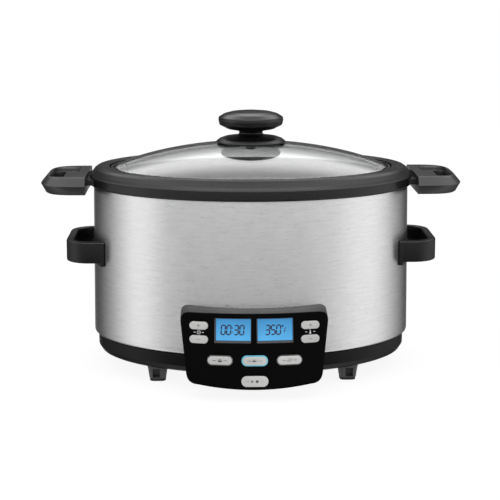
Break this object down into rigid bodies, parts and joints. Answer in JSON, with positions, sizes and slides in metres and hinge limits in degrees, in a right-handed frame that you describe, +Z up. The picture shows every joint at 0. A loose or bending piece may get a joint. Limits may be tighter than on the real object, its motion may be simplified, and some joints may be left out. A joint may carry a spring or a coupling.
{
  "type": "slow cooker",
  "caption": "Oval countertop multi-cooker: steel housing with digital control panel, lift-out pot with side grips, and domed glass lid with knob.",
  "frame": {"origin": "under the middle of the whole object's bounding box, on the surface it stands on", "axes": "+X to the user's right along the oval's long axis, +Y to the back, +Z up; the control panel faces -Y"},
  "size_m": [0.4184, 0.2733, 0.2568],
  "materials": {
    "brushed_steel": "fine horizontal brushing",
    "plated_steel": "bright",
    "cast_aluminium": "as cast",
    "pot_coating": "dark non-stick coating on cast aluminium",
    "black_plastic": "satin moulded plastic",
    "charcoal_plastic": "satin moulded plastic",
    "bezel_plastic": "fine matte texture",
    "gloss_black": "glossy",
    "button_plastic": "satin silver paint",
    "display": "backlit liquid crystal display behind a clear film",
    "glass": "clear, polished",
    "rubber": "matte",
    "insulation_wool": "ceramic wool band",
    "circuit_board": "green laminate"
  },
  "bodies": {
    "base": {"housing_shell": "brushed_steel", "base_pan": "black_plastic", "cord_gland": "rubber", "housing_rim": "black_plastic", "heating_well": "plated_steel", "insulation_band": "insulation_wool", "heating_plate": "cast_aluminium", "heating_element": "cast_aluminium", "thermal_fuse": "plated_steel", "sensor_guide": "black_plastic", "power_board": "circuit_board", "relay": "black_plastic", "transformer": "cast_aluminium", "panel_housing": "bezel_plastic", "panel_face": "gloss_black", "control_board": "circuit_board", "foot_front_left": "black_plastic", "foot_front_right": "black_plastic", "foot_rear_left": "black_plastic", "foot_rear_right": "black_plastic", "foot_pad_front_left": "rubber", "foot_pad_front_right": "rubber", "foot_pad_rear_left": "rubber", "foot_pad_rear_right": "rubber", "base_handle_left": "black_plastic", "base_handle_right": "black_plastic", "handle_screw_front_left": "plated_steel", "handle_screw_front_right": "plated_steel", "handle_screw_rear_left": "plated_steel", "handle_screw_rear_right": "plated_steel", "display_left": "display", "display_right": "display", "display_frame_left": "bezel_plastic", "display_frame_right": "bezel_plastic"},
    "pot": {"cooking_pot": "pot_coating", "grip_bracket_left": "pot_coating", "grip_bracket_right": "pot_coating", "pot_grip_left": "charcoal_plastic", "pot_grip_right": "charcoal_plastic", "grip_screw_front_left": "plated_steel", "grip_screw_front_right": "plated_steel", "grip_screw_rear_left": "plated_steel", "grip_screw_rear_right": "plated_steel"},
    "lid": {"lid_glass": "glass", "lid_rim": "plated_steel", "knob_base": "black_plastic", "knob": "black_plastic", "knob_washer": "plated_steel", "knob_screw": "plated_steel"},
    "sensor": {"sensor_cap": "plated_steel", "sensor_spring": "plated_steel"},
    "button_time_up": {"button_time_up": "button_plastic"},
    "button_time_down": {"button_time_down": "button_plastic"},
    "button_temp_up": {"button_temp_up": "button_plastic"},
    "button_temp_down": {"button_temp_down": "button_plastic"},
    "button_slow_cook": {"button_slow_cook": "button_plastic"},
    "button_brown": {"button_brown": "button_plastic"},
    "button_steam": {"button_steam": "button_plastic"},
    "button_start_stop": {"button_start_stop": "button_plastic"}
  },
  "joints": [
    {"name": "pot_lift", "type": "slide", "parent": "base", "child": "pot", "axis": [0, 0, 1], "range_m": [0, 0.18]},
    {"name": "lid_lift", "type": "slide", "parent": "pot", "child": "lid", "axis": [0, 0, 1], "range_m": [0, 0.12]},
    {"name": "sensor_press", "type": "slide", "parent": "base", "child": "sensor", "axis": [0, 0, -1], "range_m": [0, 0.002], "stiffness_N_per_m": 400, "deforming": ["sensor_spring"]},
    {"name": "time_up_press", "type": "slide", "parent": "base", "child": "button_time_up", "axis": [0.226, 0.9647, -0.1356], "range_m": [0, 0.0008], "stiffness_N_per_m": 900},
    {"name": "time_down_press", "type": "slide", "parent": "base", "child": "button_time_down", "axis": [0.226, 0.9647, -0.1356], "range_m": [0, 0.0008], "stiffness_N_per_m": 900},
    {"name": "temp_up_press", "type": "slide", "parent": "base", "child": "button_temp_up", "axis": [-0.226, 0.9647, -0.1356], "range_m": [0, 0.0008], "stiffness_N_per_m": 900},
    {"name": "temp_down_press", "type": "slide", "parent": "base", "child": "button_temp_down", "axis": [-0.226, 0.9647, -0.1356], "range_m": [0, 0.0008], "stiffness_N_per_m": 900},
    {"name": "slow_cook_press", "type": "slide", "parent": "base", "child": "button_slow_cook", "axis": [0.1408, 0.9804, -0.1378], "range_m": [0, 0.0008], "stiffness_N_per_m": 900},
    {"name": "brown_press", "type": "slide", "parent": "base", "child": "button_brown", "axis": [0, 0.9903, -0.1392], "range_m": [0, 0.0008], "stiffness_N_per_m": 900},
    {"name": "steam_press", "type": "slide", "parent": "base", "child": "button_steam", "axis": [-0.1408, 0.9804, -0.1378], "range_m": [0, 0.0008], "stiffness_N_per_m": 900},
    {"name": "start_stop_press", "type": "slide", "parent": "base", "child": "button_start_stop", "axis": [0, 0.9903, -0.1392], "range_m": [0, 0.0008], "stiffness_N_per_m": 900}
  ]
}
